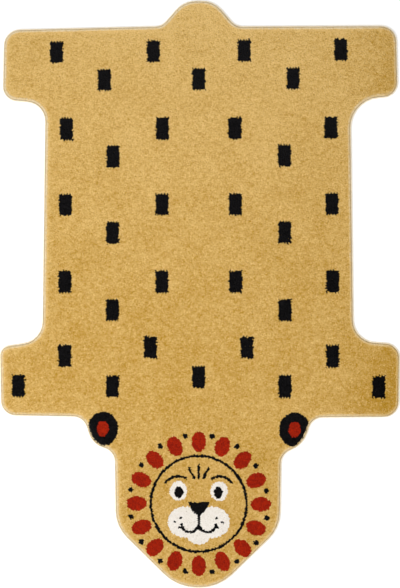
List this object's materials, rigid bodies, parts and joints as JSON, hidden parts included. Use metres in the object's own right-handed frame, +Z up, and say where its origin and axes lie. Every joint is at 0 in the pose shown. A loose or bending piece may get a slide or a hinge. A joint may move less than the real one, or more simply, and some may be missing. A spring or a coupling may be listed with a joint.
{
  "type": "lion shaped kids rug",
  "caption": "Flat cut-pile floor rug for a child's room, cut to the outline of a spread lion hide with head, paws and tail stub, overlocked all round.",
  "frame": {"origin": "on the floor, under the middle of the rug's bounding box", "axes": "+Z up out of the pile, +Y along the rug towards the tail, +X across the paws; the head points along -Y"},
  "size_m": [1.022, 1.5, 0.0129],
  "materials": {
    "pile": "mottled mustard cut pile with dark blocks, matt",
    "edging": "straw-coloured overlock yarn, matt"
  },
  "bodies": {
    "root": {"pile_mat": "pile", "overlocked_edge": "edging"}
  },
  "joints": []
}
